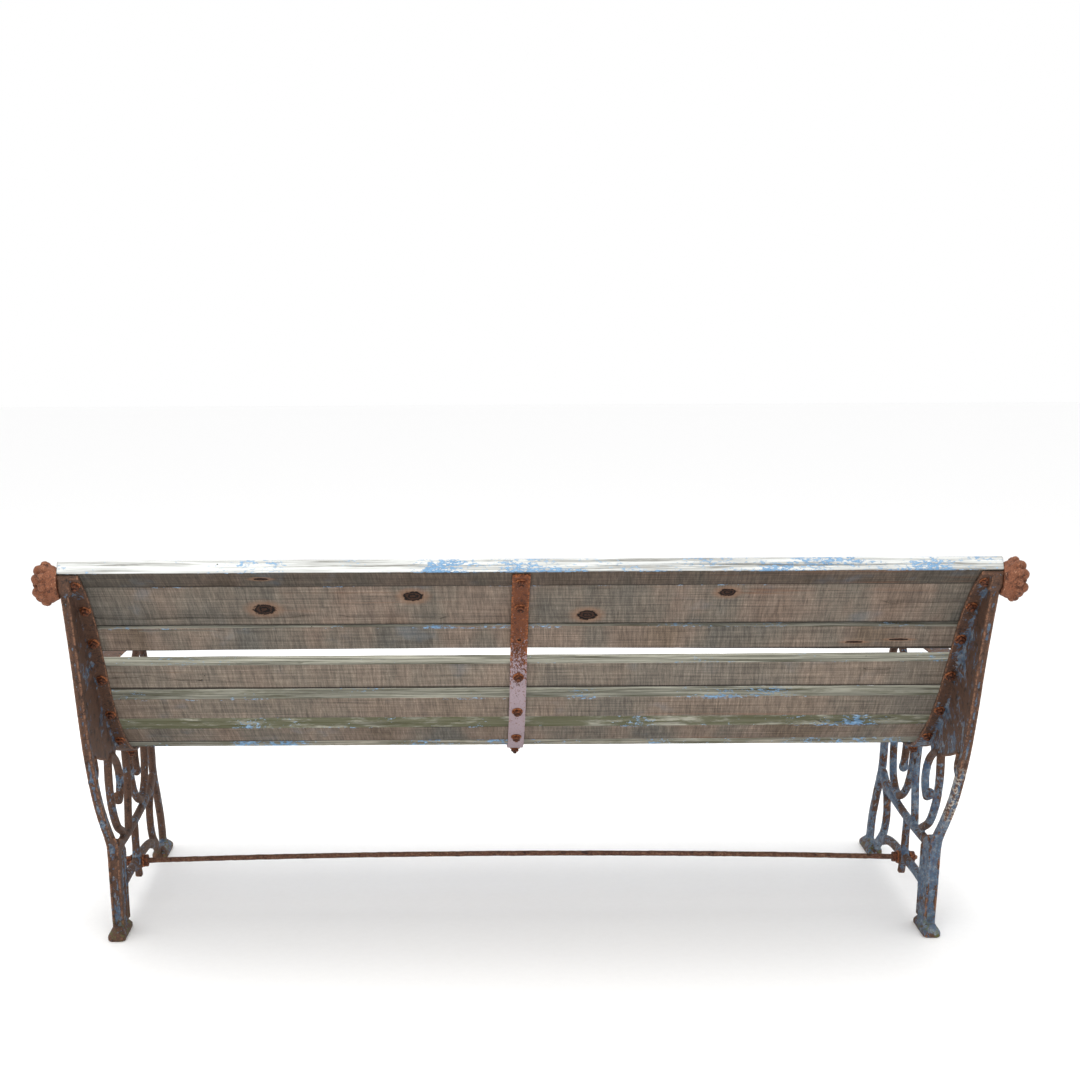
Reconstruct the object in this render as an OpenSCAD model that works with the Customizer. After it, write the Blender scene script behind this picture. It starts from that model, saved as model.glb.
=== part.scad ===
// Garden bench with two cast-iron ends, wooden slats over a back that runs down into the seat,
// a flat iron strap at mid-length and a tie rod low down between the ends.
// Lengths are in millimetres. X runs along the bench, the sitter faces -Y, Z is up and Z = 0
// is the ground. Side views of the ends are drawn as [forward, up] with forward away from the
// back, and the module side() stands them upright.

/* [Bench] */
// Length over the outer faces of the two cast ends
bench_len = 1800; // [1200:10:2100]
// Distance of the strap from mid-length, towards the left end
strap_x = 16; // [-200:1:200]

/* [Slats] */
// Thickness of every slat
slat_t = 28; // [20:1:30]
// Width of the rolled top slat
top_slat_w = 62; // [50:1:64]
// Width of the wide board below it
wide_slat_w = 120; // [100:1:122]
// Width of the third slat, a little narrower than the three below it
third_slat_w = 60; // [50:1:66]
// Width of the three lower back slats
back_slat_w = 68; // [50:1:70]
// Width of the seat slats
seat_slat_w = 66; // [50:1:72]
// Pitch of the narrow back slats along the curve
back_pitch = 102; // [98:1:103]
// Pitch of the seat slats along the curve
seat_pitch = 82; // [80:1:84]

/* [Cast ends] */
// Width of the ledge that carries the slats
ledge_w = 42; // [36:1:60]
// Thickness of the ledge
ledge_t = 8; // [6:0.5:10]
// Thickness of the scroll bars
bar_t = 18; // [12:1:20]
// Thickness of the solid web behind the back
web_t = 8; // [6:1:10]
// Width of the foot pads along the bench
foot_w = 38; // [34:1:60]

/* [Ironwork] */
// Width of the mid strap
strap_w = 35; // [25:1:50]
// Thickness of the mid strap
strap_t = 6; // [4:0.5:8]
// Diameter of the tie rod
rod_d = 13; // [10:1:16]
// Rise of the bent tie rod at mid-length
rod_bow = 14; // [6:1:30]
// Outer diameter of the rosettes
rosette_d = 88; // [70:1:100]
// How far a rosette stands out from the end
rosette_out = 50; // [40:1:60]

/* [Fasteners] */
// Shank diameter of the coach bolts
bolt_d = 8; // [6:1:10]
// Clearance on the diameter of a bolt hole
bolt_play = 0.6; // [0.4:0.1:1]
// Washer diameter
washer_d = 23; // [20:1:26]
// Distance of the end bolts from the inner edge of the ledge
bolt_inset = 13; // [12:1:18]

/* [Hidden] */
$fn = 48;
half_len = bench_len / 2;
seam = 0.1;                   // gap left between a slat and the iron it lies on
washer_t = 2;
nut_t = 7;
nut_af = 15;                  // across the flats of a square nut
head_d = 20;
head_h = 5;
thread_out = 4;               // bolt end left standing past its nut
plate_out = 1;                // the bars sit this far inside the outer face
lay = 0.3;                    // gap between a washer and the iron it lies on
boss_t = 24;                  // how deep the bosses and the rear leg are along the bench
leg_t = 26;
rod_boss_d = 34;
roll_boss_d = 44;
bud_d = 26;                   // round buds that end the scrolls
arm_top_w = 52;
rod_washer = [30, 3];         // diameter and thickness
rod_nut = [22, 10];           // across the flats and thickness
tilt_gap = 0.6;               // room for a washer that follows the bend of the rod
rod_sides = 16;               // the bent rod is drawn as straight lengths of this many sides
rod_parts = 7;

// Ledge line of the back and the seat: [length, turn in degrees] arcs, from the top forward
path = [[200, -30], [140, 0], [210, 24], [110, 34], [60, 8], [220, 0], [60, -38]];
path_top = [-182, 843];
path_lean = 58;               // lean of the top slat back from upright
path_len = 998;

// Slats on that line: the rolled one, the wide one, four narrow ones and five seat slats
first_narrow = top_slat_w + wide_slat_w + 6;
second_narrow = first_narrow + third_slat_w + 35;
seat_start = second_narrow + 3 * back_pitch + 10;
SLATS = concat(
    [[0, top_slat_w], [top_slat_w + 3, wide_slat_w], [first_narrow, third_slat_w]],
    [for (i = [0:2]) [second_narrow + i * back_pitch, back_slat_w]],
    [for (i = [0:4]) [seat_start + i * seat_pitch, seat_slat_w]]);
bolt_x = half_len - ledge_w + bolt_inset;
missing_bolt = 2;             // the third slat has lost its bolt at the strap
full_slats = 3;               // the arms pass the ends of all but the first three slats
short_gap = 20;               // clearance that leaves at each end

// Places in the side view
roll_at = [-164, 822];
rod_at = [288, 86];
leg_rear = 45;
foot_over = 6;                // the pads stand out this far past the outer faces
foot_rears = [14, 528];
foot_len = 96;
rear_most = roll_at[0] - rosette_d / 2;
mid_y = (rear_most + foot_rears[1] + foot_len) / 2;
boss_in = half_len - boss_t;
rod_end = half_len + 20;
bend_r = (half_len * half_len + rod_bow * rod_bow) / (2 * rod_bow);

// ---- the curve that the slats follow ----
function arc_end(p, lean, length, turn) = turn == 0
    ? p + length * [sin(lean), -cos(lean)]
    : p + length * 180 / (PI * turn)
        * [cos(lean) - cos(lean + turn), sin(lean) - sin(lean + turn)];
// [forward, up, lean] at distance s along the ledge line
function at(s, i = 0, p = path_top, lean = path_lean) =
    s <= path[i][0] || i == len(path) - 1
    ? concat(arc_end(p, lean, s, s * path[i][1] / path[i][0]), lean + s * path[i][1] / path[i][0])
    : at(s - path[i][0], i + 1, arc_end(p, lean, path[i][0], path[i][1]), lean + path[i][1]);
function toward_sitter(lean) = [cos(lean), sin(lean)];
// The point that lies off the line by this much, on the sitter's side
function along(s, off) = let (q = at(s)) [q[0], q[1]] + off * toward_sitter(q[2]);
function middle(slat) = slat[0] + slat[1] / 2;
function band(s0, s1, off0, off1, n) = concat(
    [for (k = [0:n]) along(s0 + (s1 - s0) * k / n, off0)],
    [for (k = [n:-1:0]) along(s0 + (s1 - s0) * k / n, off1)]);
// How far a flat board has to stand off the curved line to clear it
function stand_off(s0, w) = let (m = at(s0 + w / 2), n = toward_sitter(m[2]))
    seam + max([for (k = [0:8]) (along(s0 + w * k / 8, 0) - [m[0], m[1]]) * n]);

// ---- smooth bars of the castings ----
function blend(a, b, c, d, t) =
    (2 * b + (c - a) * t + (2 * a - 5 * b + 4 * c - d) * t * t + (3 * b - a - 3 * c + d) * t * t * t) / 2;
// A smooth curve through [forward, up, width] points
function smooth(p, n) = let (last = len(p) - 1,
    q = concat([2 * p[0] - p[1]], p, [2 * p[last] - p[last - 1]]))
    [for (i = [0:last - 1], k = [0:n - 1]) blend(q[i], q[i + 1], q[i + 2], q[i + 3], k / n), p[last]];
function across(c, i) = let (a = c[max(i - 1, 0)], b = c[min(i + 1, len(c) - 1)],
    d = [b[0] - a[0], b[1] - a[1]]) [-d[1], d[0]] / norm(d);
module stroke(pts, n = 4) {
    c = smooth(pts, n);
    last = len(c) - 1;
    polygon(concat(
        [for (i = [0:last]) [c[i][0], c[i][1]] + across(c, i) * c[i][2] / 2],
        [for (i = [last:-1:0]) [c[i][0], c[i][1]] - across(c, i) * c[i][2] / 2]));
}
// The round bud that ends a scroll
module bud(pts, d) {
    e = pts[len(pts) - 1];
    translate([e[0], e[1]]) circle(d = d);
}

// Stand a side view upright between two distances from mid-length
module side(x0, x1) {
    translate([x1, mid_y, 0]) rotate([90, 0, -90]) linear_extrude(x1 - x0) children();
}
// Stand something on the ledge line at s: +Z points at the sitter and +Y up along the slat
module on_line(s, off, x) {
    p = along(s, off);
    translate([x, mid_y - p[0], p[1]]) rotate([90 - at(s)[2], 0, 0]) children();
}

// ---- the cast end ----
RAIL = [[-166, 826, 26], [-146, 750, 25], [-123, 650, 24], [-105, 550, 24], [-81, 450, 24],
    [-38, 345, 24], [14, 268, 24], [66, 206, 26]];
INNER_RAIL = [[78, 400, 20], [72, 345, 18], [84, 285, 18], [118, 232, 18], [170, 200, 18]];
UPPER_RAIL = [[96, 186, 24], [230, 182, 20], [360, 186, 20], [470, 196, 26], [520, 216, 34]];
LOWER_RAIL = [[100, 80, 26], [160, 90, 22], [290, 88, 22], [410, 80, 22], [500, 52, 28]];
LINK = [[288, 182, 20], [290, 135, 17], [288, 88, 30]];
DROP = [[292, 80, 16], [300, 56, 13], [303, 44, 17]];
POST = [[226, 182, 18], [238, 240, 17], [250, 300, 18], [246, 378, 20]];
CUP = [[278, 376, 18], [284, 300, 17], [318, 240, 17], [376, 208, 18], [428, 236, 17],
    [446, 300, 18], [440, 378, 20]];
BUD = [[340, 376, 15], [344, 320, 15], [352, 286, 24]];
CURL = [[78, 402, 18], [118, 392, 16], [160, 360, 16], [176, 316, 16], [156, 280, 17],
    [132, 292, 24]];
REAR_CURL = [[-52, 440, 16], [-44, 408, 15], [-62, 392, 20]];
FRONT_REAR = [[512, 214, 24], [474, 176, 20], [462, 130, 20], [478, 78, 22], [530, 26, 30]];
FRONT_MAIN = [[520, 384, 44], [530, 300, 34], [534, 226, 30], [566, 150, 28], [592, 80, 30],
    [600, 12, 36]];
ARM = [[-44, 612, 26], [100, 612, 20], [250, 602, 20], [390, 588, 20], [486, 558, 21],
    [524, 500, 21], [520, 440, 22], [520, 376, 30]];
ARM_CURL = [[470, 566, 16], [424, 536, 15], [420, 492, 15], [456, 474, 16], [474, 502, 22]];
ARM_TOP = [[60, 620, 8], [150, 618, 8], [300, 606, 8], [420, 590, 8]];
BARS = [RAIL, INNER_RAIL, UPPER_RAIL, LOWER_RAIL, LINK, DROP, POST, CUP, BUD, CURL, REAR_CURL,
    FRONT_REAR, FRONT_MAIN, ARM, ARM_CURL];

module rear_leg() {
    polygon([[leg_rear, 16], [leg_rear, 206], [70, 222], [112, 204], [118, 168], [114, 108],
        [98, 60], [92, 16]]);
}
// Solid web between the rail and the ledge, from the roll down to seat height
module web() {
    rail = smooth(RAIL, 4);
    polygon(concat([for (i = [0:16]) [rail[i][0], rail[i][1]]],
        [[-40, 436], [20, 412], [76, 394], [130, 380]],
        [for (s = [560:-20:20]) along(s, -ledge_t / 2)]));
}
// A pad bevelled all round, given its rear edge
module foot(rear) {
    bevel = 8;
    high = 26;
    rim = 11;
    inner = half_len + foot_over - foot_w;
    front = rear + foot_len;
    intersection() {
        side(inner, half_len + foot_over)
            polygon([[rear, 0], [front, 0], [front, rim], [front - 2 * bevel, high],
                [rear + 2 * bevel, high], [rear, rim]]);
        translate([inner, mid_y - rear + 1, 0]) rotate([90, 0, 0]) linear_extrude(foot_len + 2)
            polygon([[0, 0], [foot_w, 0], [foot_w, rim], [foot_w - bevel, high + 1],
                [bevel, high + 1], [0, rim]]);
    }
}
// A round hole along the bench, from this far inside the outer face
module bore(at, d, depth) {
    translate([half_len - depth, mid_y - at[0], at[1]]) rotate([0, 90, 0]) cylinder(d = d, h = depth + 10);
}
// One hole for each slat through iron of this thickness
module bolt_holes(x, iron_t) {
    for (slat = SLATS) on_line(middle(slat), -iron_t - 3, x)
        cylinder(d = bolt_d + bolt_play, h = iron_t + 6);
}
module end_frame() {
    outer = half_len - plate_out;
    color("#6b4a3a") difference() {
        union() {
            side(outer - bar_t, outer) {
                for (b = BARS) stroke(b);
                for (b = [BUD, CURL, REAR_CURL, ARM_CURL]) bud(b, bud_d);
            }
            side(outer - bar_t / 2 - web_t / 2, outer - bar_t / 2 + web_t / 2) web();
            side(half_len - ledge_w, half_len) polygon(band(4, path_len, -ledge_t, 0, 70));
            side(half_len - leg_t, half_len) rear_leg();
            side(half_len - arm_top_w, half_len) stroke(ARM_TOP);
            side(boss_in, half_len) {
                translate(rod_at) circle(d = rod_boss_d);
                translate(roll_at) circle(d = roll_boss_d);
            }
            for (rear = foot_rears) foot(rear);
        }
        bolt_holes(bolt_x, ledge_t);
        bore(rod_at, rod_d + 2, 60);
        bore(roll_at, bolt_d + bolt_play, 60);
    }
}

// ---- rosette on the rolled top of each end: a dished disc, twelve lobes and six petals ----
module rosette() {
    lobes = 12;
    edge_r = rosette_d / 2;
    rim_r = edge_r * 0.84;
    hub_r = edge_r * 0.5;
    color("#b5613c") difference() {
        translate([half_len, mid_y - roll_at[0], roll_at[1]]) rotate([0, 90, 0]) union() {
            cylinder(r = hub_r, h = rosette_out * 0.3);
            translate([0, 0, rosette_out * 0.2]) cylinder(r1 = hub_r, r2 = rim_r, h = rosette_out * 0.2);
            translate([0, 0, rosette_out * 0.4]) cylinder(r = rim_r, h = rosette_out * 0.18);
            for (k = [0:lobes - 1]) rotate([0, 0, k * 360 / lobes])
                translate([edge_r * 0.8, 0, rosette_out * 0.5]) sphere(r = edge_r * 0.2);
            for (k = [0:lobes / 2 - 1]) rotate([0, 0, (k + 0.5) * 720 / lobes])
                translate([edge_r * 0.44, 0, rosette_out * 0.58]) sphere(r = edge_r * 0.28);
            translate([0, 0, rosette_out * 0.5]) cylinder(r = edge_r * 0.3, h = rosette_out * 0.3);
        }
        translate([rosette_out, 0, 0]) bore(roll_at, bolt_d + bolt_play, rosette_out + 1);
    }
}
module rosette_screw() {
    dome_r = 16;
    nut_from = boss_in - nut_t;
    head_from = half_len + rosette_out * 0.8;
    color("#7a3f28") translate([0, mid_y - roll_at[0], roll_at[1]]) rotate([0, 90, 0]) {
        translate([0, 0, nut_from - thread_out])
            cylinder(d = bolt_d, h = head_from + 2 - nut_from + thread_out);
        intersection() {
            translate([0, 0, head_from - 6]) sphere(r = dome_r);
            translate([0, 0, head_from]) cylinder(r = 12, h = dome_r);
        }
        translate([0, 0, nut_from]) difference() {
            cylinder(d = nut_af / cos(30), h = nut_t, $fn = 6);
            translate([0, 0, -1]) cylinder(d = bolt_d - 1, h = nut_t + 2);
        }
    }
}

// ---- slats ----
function slat_len(i) = bench_len - (i < full_slats ? 0 : 2 * short_gap);
module slat(i) {
    s = SLATS[i];
    holes = i == missing_bolt ? [-bolt_x, bolt_x] : [-bolt_x, bolt_x, strap_x];
    color(i == 0 ? "#b9b6a6" : "#93897c") on_line(middle(s), stand_off(s[0], s[1]), 0) difference() {
        translate([-slat_len(i) / 2, -s[1] / 2, 0]) cube([slat_len(i), s[1], slat_t]);
        for (x = holes) translate([x, 0, -1]) cylinder(d = bolt_d + bolt_play, h = slat_t + 2);
    }
}

// ---- mid strap ----
module mid_strap() {
    color("#8a4c2e") difference() {
        side(strap_x - strap_w / 2, strap_x + strap_w / 2)
            polygon(band(8, path_len - 12, -strap_t, 0, 70));
        bolt_holes(strap_x, strap_t);
    }
}

// ---- fasteners: coach bolts from the sitter's side, square nuts on washers behind ----
module coach_bolt(i, x, iron_t) {
    off = stand_off(SLATS[i][0], SLATS[i][1]);
    grip = slat_t + off + iron_t + washer_t + nut_t + thread_out + lay;
    dome_r = 12.5;
    on_line(middle(SLATS[i]), off + slat_t, x) {
        translate([0, 0, -grip]) cylinder(d = bolt_d, h = grip);
        intersection() {
            translate([0, 0, head_h - dome_r]) sphere(r = dome_r);
            cylinder(d = head_d, h = head_h);
        }
    }
}
module washer(i, x, iron_t) {
    on_line(middle(SLATS[i]), -iron_t - washer_t - lay, x) difference() {
        cylinder(d = washer_d, h = washer_t);
        translate([0, 0, -1]) cylinder(d = bolt_d + bolt_play, h = washer_t + 2);
    }
}
module square_nut(i, x, iron_t) {
    on_line(middle(SLATS[i]), -iron_t - washer_t - lay - nut_t, x) rotate([0, 0, 17 * i]) difference() {
        translate([-nut_af / 2, -nut_af / 2, 0]) cube([nut_af, nut_af, nut_t]);
        translate([0, 0, -1]) cylinder(d = bolt_d, h = nut_t + 2);
    }
}
module at_strap(k) {
    for (i = [0:len(SLATS) - 1]) if (i != missing_bolt) {
        if (k == 0) coach_bolt(i, strap_x, strap_t);
        if (k == 1) washer(i, strap_x, strap_t);
        if (k == 2) square_nut(i, strap_x, strap_t);
    }
}
module at_end(k) {
    for (i = [0:len(SLATS) - 1]) {
        if (k == 0) coach_bolt(i, bolt_x, ledge_t);
        if (k == 1) washer(i, bolt_x, ledge_t);
        if (k == 2) square_nut(i, bolt_x, ledge_t);
    }
}
module strap_bolts() { color("#5d3222") at_strap(0); }
module strap_washers() { color("#7d4429") at_strap(1); }
module strap_nuts() { color("#5d3222") at_strap(2); }
module end_bolts() { color("#5d3222") at_end(0); }
module end_washers() { color("#7d4429") at_end(1); }
module end_nuts() { color("#5d3222") at_end(2); }

// ---- tie rod, bent up a little between the ends ----
// Square to the bent rod at distance x along it
module on_rod(x) {
    a = asin(x / bend_r);
    translate([x, mid_y - rod_at[0], rod_at[1] + rod_bow + bend_r * (cos(a) - 1)])
        rotate([0, 90 + a, 0]) children();
}
module tie_rod() {
    step = 2 * rod_end / rod_parts;
    color("#5a3a2c") for (k = [0:rod_parts - 1]) hull() for (x = [k, k + 1])
        on_rod(x * step - rod_end) cylinder(d = rod_d, h = 0.1, center = true, $fn = rod_sides);
}
// A ring at each end of the rod, from distance x on, cut from what is drawn
module rod_ring(x, thick, hole) {
    for (m = [0, 1]) mirror([m, 0, 0]) on_rod(x) difference() {
        children();
        translate([0, 0, -1]) cylinder(d = hole, h = thick + 2);
    }
}
module tie_rod_washers() {
    thick = rod_washer[1];
    for (x = [boss_in - tilt_gap - thick, half_len + tilt_gap])
        color("#7d4429") rod_ring(x, thick, rod_d + 1) cylinder(d = rod_washer[0], h = thick);
}
module tie_rod_nuts() {
    wide = rod_nut[0];
    thick = rod_nut[1];
    past = tilt_gap + rod_washer[1];
    for (x = [boss_in - past - thick, half_len + past])
        color("#5d3222") rod_ring(x, thick, rod_d) rotate([0, 0, 20])
            translate([-wide / 2, -wide / 2, 0]) cube([wide, wide, thick]);
}

end_frame();  // end_frame_left
mirror([1, 0, 0]) end_frame();  // end_frame_right
rosette();  // rosette_left
mirror([1, 0, 0]) rosette();  // rosette_right
rosette_screw();  // rosette_screw_left
mirror([1, 0, 0]) rosette_screw();  // rosette_screw_right
for (i = [0:5]) slat(i);
for (i = [0:4]) slat(6 + i);
mid_strap();
strap_bolts();
strap_washers();
strap_nuts();
end_bolts();  // end_bolts_left
mirror([1, 0, 0]) end_bolts();  // end_bolts_right
end_washers();  // end_washers_left
mirror([1, 0, 0]) end_washers();  // end_washers_right
end_nuts();  // end_nuts_left
mirror([1, 0, 0]) end_nuts();  // end_nuts_right
tie_rod();
tie_rod_washers();
tie_rod_nuts();
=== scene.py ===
"""Old garden bench: weathered slats on two cast-iron ends with the last of their blue paint."""
import math

import bmesh
import bpy
import numpy as np
from mathutils import Matrix, Vector, noise


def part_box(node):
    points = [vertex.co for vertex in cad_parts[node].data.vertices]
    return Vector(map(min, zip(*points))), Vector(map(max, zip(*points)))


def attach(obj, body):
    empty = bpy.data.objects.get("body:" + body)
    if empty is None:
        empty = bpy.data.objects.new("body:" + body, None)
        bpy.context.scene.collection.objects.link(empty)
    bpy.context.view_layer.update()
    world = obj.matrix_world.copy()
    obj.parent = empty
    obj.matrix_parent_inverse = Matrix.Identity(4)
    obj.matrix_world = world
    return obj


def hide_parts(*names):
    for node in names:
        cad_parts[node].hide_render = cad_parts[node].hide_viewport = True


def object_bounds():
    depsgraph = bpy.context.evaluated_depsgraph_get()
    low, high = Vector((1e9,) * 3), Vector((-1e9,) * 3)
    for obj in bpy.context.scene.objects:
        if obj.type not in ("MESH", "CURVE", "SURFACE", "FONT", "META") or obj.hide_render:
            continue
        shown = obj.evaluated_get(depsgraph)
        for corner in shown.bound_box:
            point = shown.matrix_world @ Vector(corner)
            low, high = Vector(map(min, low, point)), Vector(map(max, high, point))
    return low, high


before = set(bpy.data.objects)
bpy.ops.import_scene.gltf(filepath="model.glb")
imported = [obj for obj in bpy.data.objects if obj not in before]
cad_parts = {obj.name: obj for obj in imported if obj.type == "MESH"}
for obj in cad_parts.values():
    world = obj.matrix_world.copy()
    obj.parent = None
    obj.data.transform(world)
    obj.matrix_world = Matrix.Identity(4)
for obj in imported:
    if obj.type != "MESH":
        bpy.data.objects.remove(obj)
cad_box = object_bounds()

# ======== The setting ========
# A white studio floor under a wide soft light from above, two behind the bench and one in front,
# and the camera above it and behind, a little to the sitter's left of the middle.


def linear(colour):
    """An sRGB hex colour as the linear RGBA that shaders work in."""
    parts = [int(colour[i:i + 2], 16) / 255 for i in (1, 3, 5)]
    return [c / 12.92 if c <= 0.04045 else ((c + 0.055) / 1.055) ** 2.4 for c in parts] + [1.0]


def add(tree, kind, sockets=None, stops=None, out=0, **settings):
    """Adds a node with its settings, socket values or links, and ramp stops; gives one output."""
    node = tree.nodes.new("ShaderNode" + kind)
    for name, value in settings.items():
        setattr(node, name, value)
    for name, value in (sockets or {}).items():
        if isinstance(value, bpy.types.NodeSocket):
            tree.links.new(value, node.inputs[name])
        else:
            node.inputs[name].default_value = value
    if stops:
        ramp = node.color_ramp
        while len(ramp.elements) < len(stops):
            ramp.elements.new(1.0)
        for element, (place, colour) in zip(ramp.elements, stops):
            element.position = place
            element.color = linear(colour)
    return node.outputs[out] if node.outputs else None


def empty_material(name):
    """A material with an empty tree, and its tree."""
    material = bpy.data.materials.new(name)
    material.use_nodes = True
    material.node_tree.nodes.clear()
    return material, material.node_tree


def finish_material(tree, surface):
    """Joins the shader to the material's output."""
    add(tree, "OutputMaterial", {"Surface": surface})


camera_data = bpy.data.cameras.new("eye")
camera_data.lens = 53.29
camera_data.shift_x = 0.065
camera_data.shift_y = 0.2176
camera = bpy.data.objects.new("camera", camera_data)
bpy.context.scene.collection.objects.link(camera)
camera.matrix_world = (
    Matrix.Translation((0.1166, 3.3967, 1.3943))
    @ Matrix.Rotation(math.pi, 4, "Z")
    @ Matrix.Rotation(math.radians(90 - 17.61), 4, "X")
    @ Matrix.Rotation(math.radians(-0.29), 4, "Z")
)
bpy.context.scene.camera = camera
bpy.context.scene.view_settings.view_transform = "Standard"


def soft_light(name, place, target, size, watts, tint):
    """A square soft box at place that points at target."""
    data = bpy.data.lights.new(name, "AREA")
    data.size = size
    data.energy = watts
    data.color = linear(tint)[:3]
    lamp = bpy.data.objects.new(name, data)
    bpy.context.scene.collection.objects.link(lamp)
    lamp.location = place
    lamp.rotation_euler = (Vector(target) - Vector(place)).to_track_quat("-Z", "Y").to_euler()


soft_light("overhead", (0.2, 0.3, 3.4), (0, 0, 0), 3.0, 62, "#fffdf8")
soft_light("behind_high", (1.6, 3.6, 2.6), (0, 0, 0.5), 1.6, 26, "#ffffff")
soft_light("behind_low", (-1.5, 3.4, 0.9), (0, 0, 0.5), 1.4, 10, "#f6f9ff")
soft_light("in_front", (0.0, -3.4, 2.2), (0, 0, 0.5), 2.2, 16, "#ffffff")

world = bpy.data.worlds.new("studio")
world.use_nodes = True
world.node_tree.nodes["Background"].inputs["Color"].default_value = linear("#ffffff")
world.node_tree.nodes["Background"].inputs["Strength"].default_value = 1.0
bpy.context.scene.world = world

floor_mesh = bpy.data.meshes.new("floor")
floor_build = bmesh.new()
bmesh.ops.create_grid(floor_build, x_segments=24, y_segments=24, size=14)
floor_build.to_mesh(floor_mesh)
floor_build.free()
floor = bpy.data.objects.new("floor", floor_mesh)
bpy.context.scene.collection.objects.link(floor)
# Matt white studio paint: no gloss, the faintest mottling of a rolled coat
floor_white, tree = empty_material("rolled_matt_white_paint")
coat = add(tree, "TexNoise", {"Vector": add(tree, "TexCoord", out=3), "Scale": 60.0, "Detail": 3.0})
coat = add(tree, "ValToRGB", {"Fac": coat}, [(0.3, "#fbfbfb"), (0.7, "#fdfdfd")])
finish_material(tree, add(tree, "BsdfPrincipled", {"Base Color": coat, "Roughness": 0.9}))
floor_mesh.materials.append(floor_white)

# ======== Slats ========
# Rough-sawn softwood planks, eleven in all, left out for decades: silver-grey with upright saw
# marks, brown bleeding, worm holes and a few knots. Their tops keep chalky blue paint and moss.


def drift(*place):
    """Smooth wander between about -1 and 1."""
    return noise.noise(Vector(place))


def between(points, x):
    """Height at x of the line through points, which are sorted along x."""
    if x <= points[0][0]:
        return points[0][1]
    for (x0, y0), (x1, y1) in zip(points, points[1:]):
        if x <= x1:
            return y0 + (y1 - y0) * (x - x0) / (x1 - x0)
    return points[-1][1]


def lie(node):
    """How a slat lies: the matrix of its own axes, and its length, width and thickness."""
    low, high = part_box(node)
    ends = {(round(v.co.y, 5), round(v.co.z, 5))
            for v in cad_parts[node].data.vertices if v.co.x > high.x - 1e-4}
    corners = [Vector((0, y, z)) for y, z in ends]
    first = corners[0]
    rest = sorted((c - first for c in corners[1:]), key=lambda d: d.length)
    outward, upward = rest[0].normalized(), rest[1].normalized()
    if outward.y > 0:
        outward.negate()
    if upward.z < 0:
        upward.negate()
    middle = sum(corners, Vector()) / 4
    axes = Matrix((Vector((1, 0, 0)), upward, outward)).transposed().to_4x4()
    return Matrix.Translation(middle) @ axes, high.x - low.x, rest[1].length, rest[0].length


def new_piece(name, build, material, smooth=True):
    """Turns a bmesh into a named object with its material."""
    mesh = bpy.data.meshes.new(name)
    build.to_mesh(mesh)
    build.free()
    for polygon in mesh.polygons:
        polygon.use_smooth = smooth
    mesh.materials.append(material)
    piece = bpy.data.objects.new(name, mesh)
    bpy.context.scene.collection.objects.link(piece)
    return piece


def skin(build, rings, closed_ends=True):
    """Joins rings of vertices into a tube."""
    for ring, following in zip(rings, rings[1:]):
        count = len(ring)
        for k in range(count):
            build.faces.new((ring[k], ring[(k + 1) % count],
                             following[(k + 1) % count], following[k]))
    if closed_ends:
        build.faces.new(rings[0][::-1])
        build.faces.new(rings[-1])


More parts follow.
